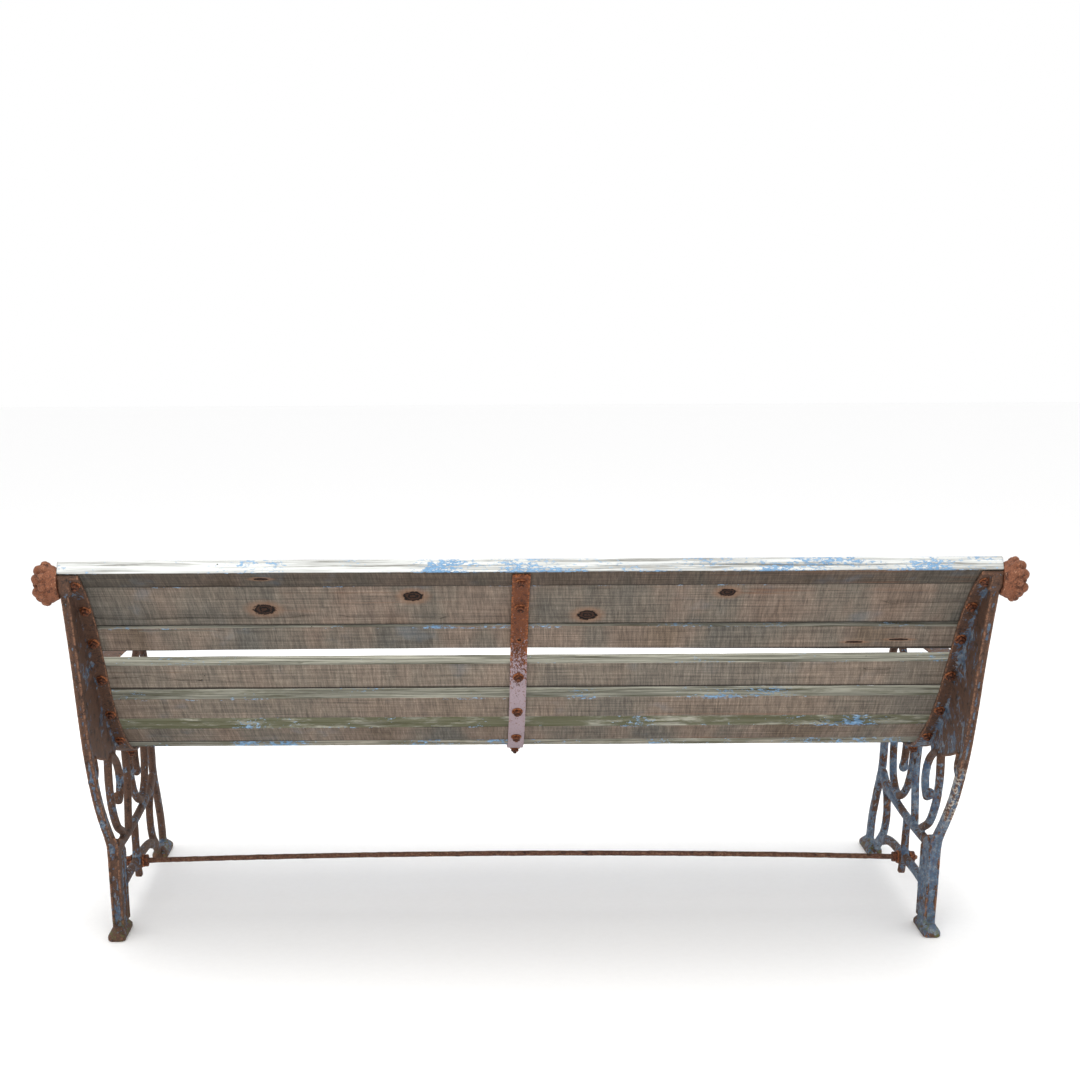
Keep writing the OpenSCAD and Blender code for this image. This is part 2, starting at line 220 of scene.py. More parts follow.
def plank(length, wide, thick, seed, bow, splits):
    """A worn plank along X, its up edge at +Y and the sitter's side at +Z.

    bow is the wander of its middle line as (x, y) points, and splits are cracks along the grain:
    the face they are in, their line as points, how wide they gape and how deep they go.
    """
    build = bmesh.new()
    hollow = build.verts.layers.float.new("hollow")
    stations = int(length / 0.005)
    rows = {"back": 16, "top": 6, "front": 12, "bottom": 5}
    half = {"y": wide / 2, "z": thick / 2}
    rings = []
    places = [-0.5, -0.5 + 0.0015 / length] + [i / stations - 0.5 for i in range(1, stations)] \
        + [0.5 - 0.0015 / length, 0.5]
    for number, share in enumerate(places):
        x = share * length
        at_end = 0.0014 if number in (0, len(places) - 1) else 0.0
        ragged = at_end * (1 + 0.8 * drift(seed, number, 4))
        a, b = half["y"] - ragged, half["z"] - ragged
        shift = between(bow, x)
        ring = []

        def put(y, z, dark=0.0):
            vertex = build.verts.new((x, y + shift, z))
            vertex[hollow] = dark
            ring.append(vertex)

        # Worn arrises: the corner radius comes and goes along the plank
        worn = [0.0022 + 0.0012 * drift(x * 9, seed + k, 3)
                + 0.003 * max(0, drift(x * 31, seed, k) - 0.35) for k in range(4)]
        sides = (("back", -a, a, -b, -1), ("top", -b, b, a, 1),
                 ("front", a, -a, b, 1), ("bottom", b, -b, -a, -1))
        for k, (side, start, end, level, out) in enumerate(sides):
            way = 1 if end > start else -1
            r0, r1 = worn[k], worn[(k + 1) % 4]
            count = rows[side]
            across = [start + way * r0 + (end - start - way * (r0 + r1)) * j / count
                      for j in range(count + 1)]
            depth = [0.0003 * drift(x * 60, c * 90, seed + 5 * k) for c in across]
            dark = [0.0] * (count + 1)
            for face, line, gape, deep in splits:
                if face != side or not line[0][0] < x < line[-1][0]:
                    continue
                share = (x - line[0][0]) / (line[-1][0] - line[0][0])
                open_here = gape * math.sqrt(max(0.0, 4 * share * (1 - share)))
                centre = between(line, x) + 0.0012 * drift(x * 38, seed, 7)
                j = 1 + round((sum(p[1] for p in line) / len(line) - across[0])
                              / (across[-1] - across[0]) * count)
                j = min(max(j, 1), count - 1)
                hold = min(1.0, 8 * share, 8 * (1 - share))
                for jj, off in ((j - 1, -way * open_here / 2), (j, 0), (j + 1, way * open_here / 2)):
                    across[jj] += (centre + off - across[jj]) * hold
                depth[j] += deep * hold
                # the crack's middle row, which the wood shader darkens as painted shade
                dark[j] = hold
            for j in range(count + 1):
                level_here = level - out * depth[j]
                if side in ("back", "front"):
                    put(across[j], level_here, dark[j])
                else:
                    put(level_here, across[j], dark[j])
            # the rounded corner after this side
            corner = {"back": (a, -b), "top": (a, b), "front": (-a, b), "bottom": (-a, -b)}[side]
            cy = corner[0] - math.copysign(r1, corner[0])
            cz = corner[1] - math.copysign(r1, corner[1])
            begin = {"back": -90, "top": 0, "front": 90, "bottom": 180}[side]
            for turn in (30, 60):
                angle = math.radians(begin + turn)
                put(cy + r1 * math.cos(angle), cz + r1 * math.sin(angle))
        rings.append(ring)
    skin(build, rings)
    bmesh.ops.recalc_face_normals(build, faces=build.faces)
    return build


def timber(name, seed, wide, thick, knots, top_coat, top_tones, blue_top, moss, warmth, tint=None):
    """Grey weathered softwood, rough from the saw.

    The eye gets upright saw marks a few millimetres apart over faint long fibres, in tones from
    greenish grey to pinkish beige, brown bleeding, black worm holes, and chalky blue paint.
    """
    material, tree = empty_material(name)
    texture = tree.nodes.new("ShaderNodeTexCoord")
    place, facing = texture.outputs["Object"], texture.outputs["Normal"]
    moved = add(tree, "VectorMath", {0: place, 1: (seed * 3.7, seed * 1.3, seed * 0.9)})
    split = tree.nodes.new("ShaderNodeSeparateXYZ")
    tree.links.new(place, split.inputs[0])
    y, z = split.outputs[1], split.outputs[2]
    turned = tree.nodes.new("ShaderNodeSeparateXYZ")
    tree.links.new(facing, turned.inputs[0])

    def pattern(scale, detail, rough=0.55, warp=0.0, tilt=0.0):
        """Noise whose features are 1/scale metres along, across and through the plank."""
        at = moved
        if tilt:
            at = add(tree, "Mapping", {"Vector": at, "Rotation": (0, 0, tilt)})
        at = add(tree, "VectorMath", {0: at, 1: scale}, operation="MULTIPLY")
        return add(tree, "TexNoise", {"Vector": at, "Scale": 1.0, "Detail": detail,
                                      "Roughness": rough, "Distortion": warp})

    def above(value, low, high):
        """0 below low and 1 above high, smooth between."""
        return add(tree, "MapRange", {"Value": value, "From Min": low, "From Max": high},
                   interpolation_type="SMOOTHSTEP")

    def times(a, b):
        return add(tree, "Math", {0: a, 1: b}, operation="MULTIPLY")

    def coat(under, over, share):
        return add(tree, "Mix", {0: share, 6: under, 7: over}, data_type="RGBA", out=2)

    up = times(above(turned.outputs[1], 0.35, 0.75), above(y, wide / 2 - 0.011, wide / 2 - 0.008))
    sawn = above(times(turned.outputs[2], -1.0), 0.5, 0.85)
    seen_front = above(turned.outputs[2], 0.5, 0.85)
    end_cut = above(add(tree, "Math", {0: turned.outputs[0]}, operation="ABSOLUTE"), 0.6, 0.85)

    # Saw marks 3 mm apart, in batches 20 mm apart; fibres 5 mm; bleeding of the rings 30 mm
    marks = pattern((300, 24, 40), 4.0, 0.65, warp=0.5, tilt=0.06)
    batches = pattern((50, 9, 14), 3.0, 0.6, warp=0.6, tilt=0.05)
    fibres = pattern((5, 210, 210), 4.0, 0.62, warp=0.4)
    rings = pattern((1.1, 34, 34), 3.0, 0.55, warp=1.2)
    tones = pattern((6.5, 2.2, 3), 3.0, 0.55)
    grit = pattern((520, 520, 520), 3.0, 0.7)

    body = add(tree, "ValToRGB", {"Fac": tones}, [
        (0.34, "#8b8a86"), (0.47, "#a0988f"), (0.56, "#b0a095"), (0.68, warmth)])
    # Painted shade and painted light: a board that leans away from the light is darkened, one that
    # faces it is paled
    if tint:
        body = coat(body, linear(tint[0]), tint[1])
    shade = add(tree, "ValToRGB", {"Fac": marks}, [
        (0.30, "#5f5b57"), (0.5, "#9b9894"), (0.68, "#c9c4be")])
    body = add(tree, "Mix", {0: times(sawn, 0.62), 6: body, 7: shade}, data_type="RGBA",
               blend_type="OVERLAY", out=2)
    shade = add(tree, "ValToRGB", {"Fac": batches}, [(0.32, "#76736f"), (0.6, "#acaaa6")])
    body = add(tree, "Mix", {0: times(sawn, 0.34), 6: body, 7: shade}, data_type="RGBA",
               blend_type="OVERLAY", out=2)
    shade = add(tree, "ValToRGB", {"Fac": fibres}, [
        (0.3, "#4d4a46"), (0.55, "#a09d99"), (0.75, "#c4c0ba")])
    body = add(tree, "Mix", {0: add(tree, "MapRange", {"Value": sawn, "To Min": 0.9, "To Max": 0.62}),
                             6: body, 7: shade}, data_type="RGBA", blend_type="OVERLAY", out=2)
    shade = add(tree, "ValToRGB", {"Fac": grit}, [(0.34, "#5d5b58"), (0.66, "#a8a6a3")])
    body = add(tree, "Mix", {0: 0.45, 6: body, 7: shade}, data_type="RGBA", blend_type="OVERLAY", out=2)
    # Brown bleeding along the rings
    bleed = times(above(rings, 0.60, 0.72), above(tones, 0.40, 0.6))
    body = coat(body, linear("#75503a"), times(bleed, 0.55))
    # Blue wash where paint has run over the edge and thinned
    wash = times(above(pattern((9, 9, 4), 3.0, 0.6), 0.58, 0.74), 0.18)
    body = coat(body, linear("#63788a"), wash)

    # The top edge: bleached, with the moss in its shade
    edge = add(tree, "ValToRGB", {"Fac": fibres}, top_tones)
    body = coat(body, edge, times(up, top_coat))
    mossy = times(above(pattern((12, 60, 60), 5.0, 0.65), 0.62 - 0.35 * moss, 0.78 - 0.35 * moss), up)
    body = coat(body, linear("#54543c"), times(mossy, min(1.0, 1.1 * moss)))

    # Chalky blue paint, in flakes on the top edge and in patches on the sitter's side
    flakes = pattern((95, 230, 230), 6.0, 0.72)
    areas = pattern((5.5, 30, 14), 3.0, 0.6)
    cover = add(tree, "Math", {0: flakes, 1: areas}, operation="ADD")
    blue = add(tree, "ValToRGB", {"Fac": flakes}, [
        (0.3, "#43688f"), (0.55, "#7197ba"), (0.72, "#aec2d2")])
    on_top = times(above(cover, 1.20 - 0.3 * blue_top, 1.27 - 0.3 * blue_top), up)
    arris = times(above(y, wide / 2 - 0.0045, wide / 2 - 0.0015),
                  above(times(z, -1.0), thick / 2 - 0.004, thick / 2 - 0.0015))
    on_arris = times(above(cover, 1.15 - 0.25 * blue_top, 1.22 - 0.25 * blue_top), arris)
    on_front = times(above(cover, 0.98, 1.06), times(seen_front, 0.9))
    painted = add(tree, "Math", {0: on_top, 1: add(tree, "Math", {0: on_arris, 1: on_front},
                                                   operation="MAXIMUM")}, operation="MAXIMUM")
    body = coat(body, blue, painted)

    # Worm and nail holes about 2 mm across
    cells = tree.nodes.new("ShaderNodeTexVoronoi")
    tree.links.new(moved, cells.inputs["Vector"])
    cells.inputs["Scale"].default_value = 26.0
    chosen = tree.nodes.new("ShaderNodeSeparateColor")
    tree.links.new(cells.outputs["Color"], chosen.inputs[0])
    holes = times(add(tree, "MapRange", {"Value": cells.outputs["Distance"], "From Min": 0.026,
                                         "From Max": 0.04, "To Min": 1.0, "To Max": 0.0}),
                  above(chosen.outputs[0], 0.62, 0.64))
    body = coat(body, linear("#15110e"), times(holes, 0.9))

    # Knots: dark resinous ovals with ringed hearts and a warm halo
    sunk = holes
    for knot_x, knot_y, long, tall in knots:
        offset = add(tree, "VectorMath", {0: place, 1: (-knot_x, -knot_y, thick / 2)})
        offset = add(tree, "VectorMath", {0: offset, 1: (1 / long, 1 / tall, 12.0)},
                     operation="MULTIPLY")
        away = add(tree, "VectorMath", {0: offset}, operation="LENGTH", out=1)
        away = add(tree, "Math", {0: away, 1: times(pattern((140, 140, 140), 3.0), 0.7)},
                   operation="ADD")
        halo = add(tree, "MapRange", {"Value": away, "From Min": 1.1, "From Max": 2.3,
                                      "To Min": 0.6, "To Max": 0.0}, interpolation_type="SMOOTHSTEP")
        body = coat(body, linear("#8a6750"), times(halo, sawn))
        heart = add(tree, "MapRange", {"Value": away, "From Min": 1.12, "From Max": 1.36,
                                       "To Min": 1.0, "To Max": 0.0}, interpolation_type="SMOOTHSTEP")
        ripple = add(tree, "Math", {0: add(tree, "Math", {0: away, 1: 16.0}, operation="MULTIPLY")},
                     operation="SINE")
        heart_tone = add(tree, "ValToRGB", {"Fac": add(tree, "MapRange", {
            "Value": ripple, "From Min": -1.0, "From Max": 1.0})}, [(0.2, "#0f0806"), (0.8, "#38241b")])
        body = coat(body, heart_tone, times(heart, sawn))
        sunk = add(tree, "Math", {0: sunk, 1: times(heart, 0.6)}, operation="MAXIMUM")

    # Painted shade: a near-black line along the lower arris, for the shadow in the gap under each slat
    lower_arris_painted_shade = times(above(times(y, -1.0), wide / 2 - 0.006, wide / 2 - 0.002), 0.85)
    body = coat(body, linear("#1a1512"), lower_arris_painted_shade)

    # Painted shade in the cracks, and the grey, checked end cuts
    body = coat(body, linear("#0f0c0a"),
                times(add(tree, "Attribute", out=2, attribute_name="hollow"), 0.95))
    ends = add(tree, "ValToRGB", {"Fac": pattern((90, 120, 120), 4.0, 0.7, warp=1.0)},
               [(0.35, "#3a342e"), (0.6, "#857a6c")])
    body = coat(body, ends, end_cut)

    height = add(tree, "Math", {0: times(marks, times(sawn, 0.9)), 1: times(fibres, 0.55)},
                 operation="ADD")
    height = add(tree, "Math", {0: height, 1: times(grit, 0.22)}, operation="ADD")
    height = add(tree, "Math", {0: height, 1: times(painted, 0.25)}, operation="ADD")
    height = add(tree, "Math", {0: height, 1: times(sunk, 1.3)}, operation="SUBTRACT")
    relief = add(tree, "Bump", {"Height": height, "Strength": 0.75, "Distance": 0.0014})
    dull = add(tree, "MapRange", {"Value": grit, "To Min": 0.78, "To Max": 0.98})
    finish_material(tree, add(tree, "BsdfPrincipled", {
        "Base Color": body, "Roughness": dull, "Normal": relief, "Specular IOR Level": 0.25}))
    return material


bleached = [(0.32, "#75736d"), (0.45, "#b4b5b2"), (0.6, "#d6d8d6")]
damp = [(0.32, "#4b4a3a"), (0.48, "#87867a"), (0.65, "#b5b3a4")]
# Each slat: knots, cracks, wander of its line, and how its top edge has weathered
slats = {
    "back_slat_1": dict(
        knots=[(0.515, 0.004, 0.017, 0.006)], top=bleached, coat=1.0,
        # painted shade: the steep top board is darkened for the light its lean keeps off
        tint=("#3a332c", 0.55), blue=0.40, moss=0.0,
        warmth="#9d8d7f", bow=[(-0.9, 0.0), (0.9, 0.0)],
        splits=[("back", [(0.56, -0.024), (0.64, -0.027), (0.74, -0.024)], 0.0016, 0.004),
                ("top", [(-0.72, -0.004), (-0.42, -0.001), (-0.10, -0.003)], 0.001, 0.002)]),
    "back_slat_2": dict(
        knots=[(0.520, -0.010, 0.0250, 0.0185), (0.226, 0.029, 0.0225, 0.0165),
               (-0.118, -0.032, 0.0225, 0.0170), (-0.388, 0.036, 0.0195, 0.0130)],
        top=damp, coat=0.7, blue=0.15, moss=0.15, warmth="#a18d80", bow=[(-0.9, 0.0), (0.9, 0.0)],
        splits=[("back", [(0.42, -0.037), (0.56, -0.038), (0.68, -0.035), (0.78, -0.041),
                          (0.899, -0.036)], 0.0042, 0.011),
                ("back", [(0.15, -0.046), (0.24, -0.036), (0.38, -0.036)], 0.0012, 0.003),
                ("back", [(-0.889, 0.004), (-0.80, 0.000), (-0.69, -0.002)], 0.0012, 0.004)]),
    "back_slat_3": dict(
        knots=[(-0.66, -0.014, 0.020, 0.003), (-0.75, -0.008, 0.022, 0.003)], top=damp, coat=0.8,
        blue=0.15, moss=0.15, warmth="#9c8c7e",
        bow=[(-0.9, -0.004), (-0.5, -0.001), (0.0, 0.004), (0.4, 0.003), (0.9, 0.0)],
        splits=[("back", [(0.60, 0.022), (0.70, 0.025), (0.80, 0.023)], 0.001, 0.002)]),
    "back_slat_4": dict(
        # painted light: this board is paled for the light its lean catches
        knots=[], top=damp, coat=1.0, tint=("#c2b6aa", 0.38), blue=0.22, moss=0.2, warmth="#a89a8c",
        bow=[(-0.88, -0.001), (0.0, -0.002), (0.88, -0.003)],
        splits=[("back", [(0.66, -0.022), (0.72, -0.006), (0.78, 0.006), (0.80, 0.002), (0.86, -0.001)],
                 0.0012, 0.003),
                ("back", [(-0.75, 0.009), (-0.71, 0.011), (-0.69, 0.012)], 0.0016, 0.004),
                ("top", [(0.455, -0.010), (0.52, -0.011), (0.60, -0.010)], 0.0030, 0.006)]),
    "back_slat_5": dict(
        # painted light: this board is paled for the light its lean catches
        knots=[], top=damp, coat=1.0, tint=("#bdb1a5", 0.32), blue=0.2, moss=0.35, warmth="#a59588",
        bow=[(-0.88, 0.005), (0.0, 0.005), (0.88, 0.004)],
        splits=[("back", [(0.01, -0.014), (0.03, -0.015), (0.05, -0.014)], 0.0014, 0.003)]),
    "back_slat_6": dict(
        knots=[], top=damp, coat=1.0, blue=0.15, moss=0.75, warmth="#98897b",
        bow=[(-0.88, 0.005), (0.0, 0.001), (0.88, -0.002)],
        splits=[("back", [(-0.76, 0.026), (-0.73, 0.020), (-0.66, 0.027)], 0.0014, 0.003),
                ("top", [(-0.80, 0.004), (-0.70, -0.006), (-0.62, -0.012)], 0.0016, 0.004)]),
}
for number in range(1, 6):
    slats[f"seat_slat_{number}"] = dict(
        knots=[], top=damp, coat=0.7, blue=0.4, moss=0.5 - 0.08 * number, warmth="#9a8b7d",
        bow=[(-0.88, 0.002 * (-1) ** number), (0.1, 0.0), (0.88, 0.001)],
        splits=[("front", [(-0.5 + 0.2 * number, 0.006), (-0.3 + 0.2 * number, 0.009),
                           (-0.15 + 0.2 * number, 0.004)], 0.0018, 0.005)])

for seed, (node, facts) in enumerate(slats.items(), 1):
    place, length, wide, thick = lie(node)
    material = timber(f"rough_sawn_weathered_softwood_{seed}", seed, wide, thick, facts["knots"],
                      facts["coat"], facts["top"], facts["blue"], facts["moss"], facts["warmth"],
                      facts.get("tint"))
    piece = new_piece(f"{node}_plank", plank(length, wide, thick, seed, facts["bow"], facts["splits"]),
                      material)
    piece.matrix_world = place
    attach(piece, "root")
    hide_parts(node)

# ======== Cast-iron ends ========
# Each end is one sand casting: an S-shaped back rail with a ledge for the slats, a fluted rear
# leg, a splayed front leg and an arm, filled with plant scrolls. Rust has lifted most of the paint.

zero_y = cad_box[1].y - 0.208    # where the side view's forward distance is nothing
half_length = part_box("back_slat_1")[1].x
# Side view of the bars in millimetres: forward, up, width
rail = [(-166, 826, 26), (-146, 750, 25), (-123, 650, 24), (-105, 550, 24), (-81, 450, 24),
        (-38, 345, 24), (14, 268, 24), (66, 206, 26)]
scrolls = {
    "inner rail": [(78, 400, 20), (72, 345, 18), (84, 285, 18), (118, 232, 18), (170, 200, 18)],
    "upper rail": [(96, 186, 24), (230, 182, 20), (360, 186, 20), (470, 196, 26), (520, 216, 34)],
    "lower rail": [(100, 80, 26), (160, 90, 22), (290, 88, 22), (410, 80, 22), (500, 52, 28)],
    "link": [(288, 182, 20), (290, 135, 17), (288, 88, 30)],
    "drop": [(292, 80, 16), (300, 56, 13), (303, 44, 17)],
    "post": [(226, 182, 18), (238, 240, 17), (250, 300, 18), (246, 378, 20)],
    "cup": [(278, 376, 18), (284, 300, 17), (318, 240, 17), (376, 208, 18), (428, 236, 17),
            (446, 300, 18), (440, 378, 20)],
    "bud": [(340, 376, 15), (344, 320, 15), (352, 286, 24)],
    "curl": [(78, 402, 18), (118, 392, 16), (160, 360, 16), (176, 316, 16), (156, 280, 17),
             (132, 292, 24)],
    "rear curl": [(-52, 440, 16), (-44, 408, 15), (-62, 392, 20)],
    "front leg's rear": [(512, 214, 24), (474, 176, 20), (462, 130, 20), (478, 78, 22), (530, 26, 30)],
    "front leg": [(520, 384, 44), (530, 300, 34), (534, 226, 30), (566, 150, 28), (592, 80, 30),
                  (600, 12, 34)],
    "arm": [(-44, 612, 26), (100, 612, 20), (250, 602, 20), (390, 588, 20), (486, 558, 21),
            (524, 500, 21), (520, 440, 22), (520, 376, 30)],
    "arm curl": [(470, 566, 16), (424, 536, 15), (420, 492, 15), (456, 474, 16), (474, 502, 22)],
}


def rounded(points, steps=6):
    """A smooth curve through points of any number of values."""
    line = [tuple(2 * a - b for a, b in zip(points[0], points[1]))] + list(points) \
        + [tuple(2 * a - b for a, b in zip(points[-1], points[-2]))]
    curve = []
    for a, b, c, d in zip(line, line[1:], line[2:], line[3:]):
        for k in range(steps):
            t = k / steps
            curve.append(tuple(
                (2 * q + (r - p) * t + (2 * p - 5 * q + 4 * r - s) * t ** 2
                 + (3 * q - p - 3 * r + s) * t ** 3) / 2 for p, q, r, s in zip(a, b, c, d)))
    return curve + [points[-1]]


def standing(forward, up, x):
    """A point of the side view, in millimetres, stood up at x metres along the bench."""
    return Vector((x, zero_y - forward / 1000, up / 1000))


def bar(build, curve, x, deep, fullness=2.4, count=16):
    """A bar along a side-view curve, as thick as its third value and deep along the bench."""
    rings = []
    for k, (forward, up, wide) in enumerate(curve):
        before, after = curve[max(k - 1, 0)], curve[min(k + 1, len(curve) - 1)]
        run = Vector((after[0] - before[0], after[1] - before[1])).normalized()
        ring = []
        for j in range(count):
            angle = 2 * math.pi * j / count
            c, s = math.cos(angle), math.sin(angle)
            grow = (abs(c) ** fullness + abs(s) ** fullness) ** (-1 / fullness)
            off = wide / 2 * c * grow
            ring.append(build.verts.new(standing(forward - run.y * off, up + run.x * off,
                                                 x + deep / 2 * s * grow)))
        rings.append(ring)
    skin(build, rings)


def plate(build, outline, x0, x1):
    """A flat plate of a side-view outline between two distances along the bench."""
    near = [build.verts.new(standing(f, u, x0)) for f, u in outline]
    far = [build.verts.new(standing(f, u, x1)) for f, u in outline]
    skin(build, [near, far])


def ball(build, forward, up, x, across, deep):
    """A round bud, flattened along the bench."""
    place = Matrix.Translation(standing(forward, up, x)) @ Matrix.Diagonal((deep / across, 1, 1, 1))
    bmesh.ops.create_icosphere(build, subdivisions=3, radius=across / 2000, matrix=place)


# The line that the slats lie on: arcs of a length in millimetres and a turn in degrees
ledge_arcs = [(200, -30), (140, 0), (210, 24), (110, 34), (60, 8), (220, 0), (60, -38)]


def on_ledge(s, off=0.0):
    """Forward and up at distance s along the ledge line, and off towards the sitter."""
    forward, up, lean = -182.0, 843.0, 58.0
    for k, (length, turn) in enumerate(ledge_arcs):
        here = min(s, length) if k < len(ledge_arcs) - 1 else s
        steps = 8
        for _ in range(steps):
            middle = math.radians(lean + turn * here / length / steps / 2)
            forward += here / steps * math.sin(middle)
            up -= here / steps * math.cos(middle)
            lean += turn * here / length / steps
        s -= here
        if s <= 0:
            break
    return forward + off * math.cos(math.radians(lean)), up + off * math.sin(math.radians(lean))


def ledge_band(s0, s1, off0, off1, count):
    """The outline of a strip along the ledge line."""
    stops = [s0 + (s1 - s0) * k / count for k in range(count + 1)]
    return [on_ledge(s, off0) for s in stops] + [on_ledge(s, off1) for s in reversed(stops)]


def cast_end(side):
    """One end as overlapping solids, ready to be melted into one skin. side is 1 or -1."""
    build = bmesh.new()
    outer = half_length - 0.001
    middle = outer - 0.009
    for name, points in scrolls.items():
        bar(build, rounded(points), middle * side, 0.018)
    for name in ("bud", "curl", "rear curl", "arm curl"):
        forward, up, _ = scrolls[name][-1]
        ball(build, forward, up, middle * side, 26, 0.022 * 1000)
    # The back rail is a channel: a flat bar between two round beads
    curve = rounded(rail)
    bar(build, [(f, u, w - 3) for f, u, w in curve], middle * side, 0.017, fullness=6)
    for x in (outer - 0.0035, outer - 0.0145):
        bar(build, [(f - 0.36 * w, u - 0.10 * w, 9) for f, u, w in curve], x * side, 0.0065, count=10)
    # The web behind the slats is set back between rail and ledge
    web = [(f, u) for f, u, w in curve[:25]] + [(-40, 436), (20, 412), (76, 394), (130, 380)] \
        + [on_ledge(s, -4) for s in range(560, 19, -20)]
    plate(build, web, (middle - 0.004) * side, (middle + 0.004) * side)
    plate(build, ledge_band(4, 998, -8, -0.3, 90), (half_length - 0.0415) * side, half_length * side)
    # The fluted rear leg, with beads down both edges of its rear face
    plate(build, [(49, 16), (49, 204), (70, 220), (110, 203), (116, 168), (112, 108), (97, 60),
                  (92, 16)],
          (half_length - 0.026) * side, (half_length - 0.001) * side)
    for x in (half_length - 0.0035, half_length - 0.0225):
        bar(build, rounded([(48, 20, 8), (48, 120, 8), (48, 200, 8), (30, 236, 8)]),
            x * side, 0.007, count=10)
    for forward in (72, 98):
        bar(build, rounded([(forward, 24, 7), (forward + 4, 110, 7), (forward + 6, 186, 7)]),
            (half_length - 0.0255) * side, 0.007, count=10)
    # A flat top on the arm, bosses for the tie rod and the rosette, and the two feet
    flat = rounded([(60, 620, 8), (150, 618, 8), (300, 606, 8), (420, 590, 8)])
    bar(build, flat, (half_length - 0.026) * side, 0.050, fullness=5)
    for (forward, up), across in (((288, 86), 34), ((-164, 822), 44)):
        bar(build, [(forward, up - across / 2 + 0.5, 4)] + [
            (forward, up + across / 2 * math.sin(math.radians(a)), across * math.cos(math.radians(a)))
            for a in range(-75, 76, 15)] + [(forward, up + across / 2 - 0.5, 4)],
            (half_length - 0.012) * side, 0.024, fullness=8)
    for rear in (14, 528):
        x0, x1 = (half_length - 0.032) * side, (half_length + 0.006) * side
        layers = []
        for up, inset in ((0, 2), (2, 0), (11, 0), (18, 5), (26, 14)):
            layer = []
            for f, x, sf, sx in ((rear, x0, 1, 1), (rear + 96, x0, -1, 1),
                                 (rear + 96, x1, -1, -1), (rear, x1, 1, -1)):
                for cut in ((0, 7), (7, 0)) if sf * sx > 0 else ((7, 0), (0, 7)):
                    layer.append(build.verts.new(standing(
                        f + sf * (inset + cut[0]), up, x + sx * side * (inset + cut[1]) * 0.0008)))
            layers.append(layer)
        skin(build, layers)
    bmesh.ops.recalc_face_normals(build, faces=build.faces)
    return build


def melt(piece, grain, smoothings, roughness, coarse):
    """Melts a piece's solids into one skin, softens its corners and roughens it like sand."""
    bpy.context.view_layer.objects.active = piece
    for other in bpy.context.selected_objects:
        other.select_set(False)
    piece.select_set(True)
    skinned = piece.modifiers.new("skin", "REMESH")
    skinned.mode = "VOXEL"
    skinned.voxel_size = grain
    soft = piece.modifiers.new("soft", "SMOOTH")
    soft.factor = 0.5
    soft.iterations = smoothings
    for modifier in ("skin", "soft"):
        bpy.ops.object.modifier_apply(modifier=modifier)
    mesh = piece.data
    places = np.zeros(len(mesh.vertices) * 3)
    outward = np.zeros(len(mesh.vertices) * 3)
    mesh.vertices.foreach_get("co", places)
    mesh.vertices.foreach_get("normal", outward)
    places, outward = places.reshape(-1, 3), outward.reshape(-1, 3)
    push = np.array([drift(*p) + 0.5 * drift(*(2.7 * p)) for p in places * coarse])
    mesh.vertices.foreach_set("co", (places + outward * push[:, None] * roughness).ravel())
    mesh.polygons.foreach_set("use_smooth", [True] * len(mesh.polygons))
    mesh.update()


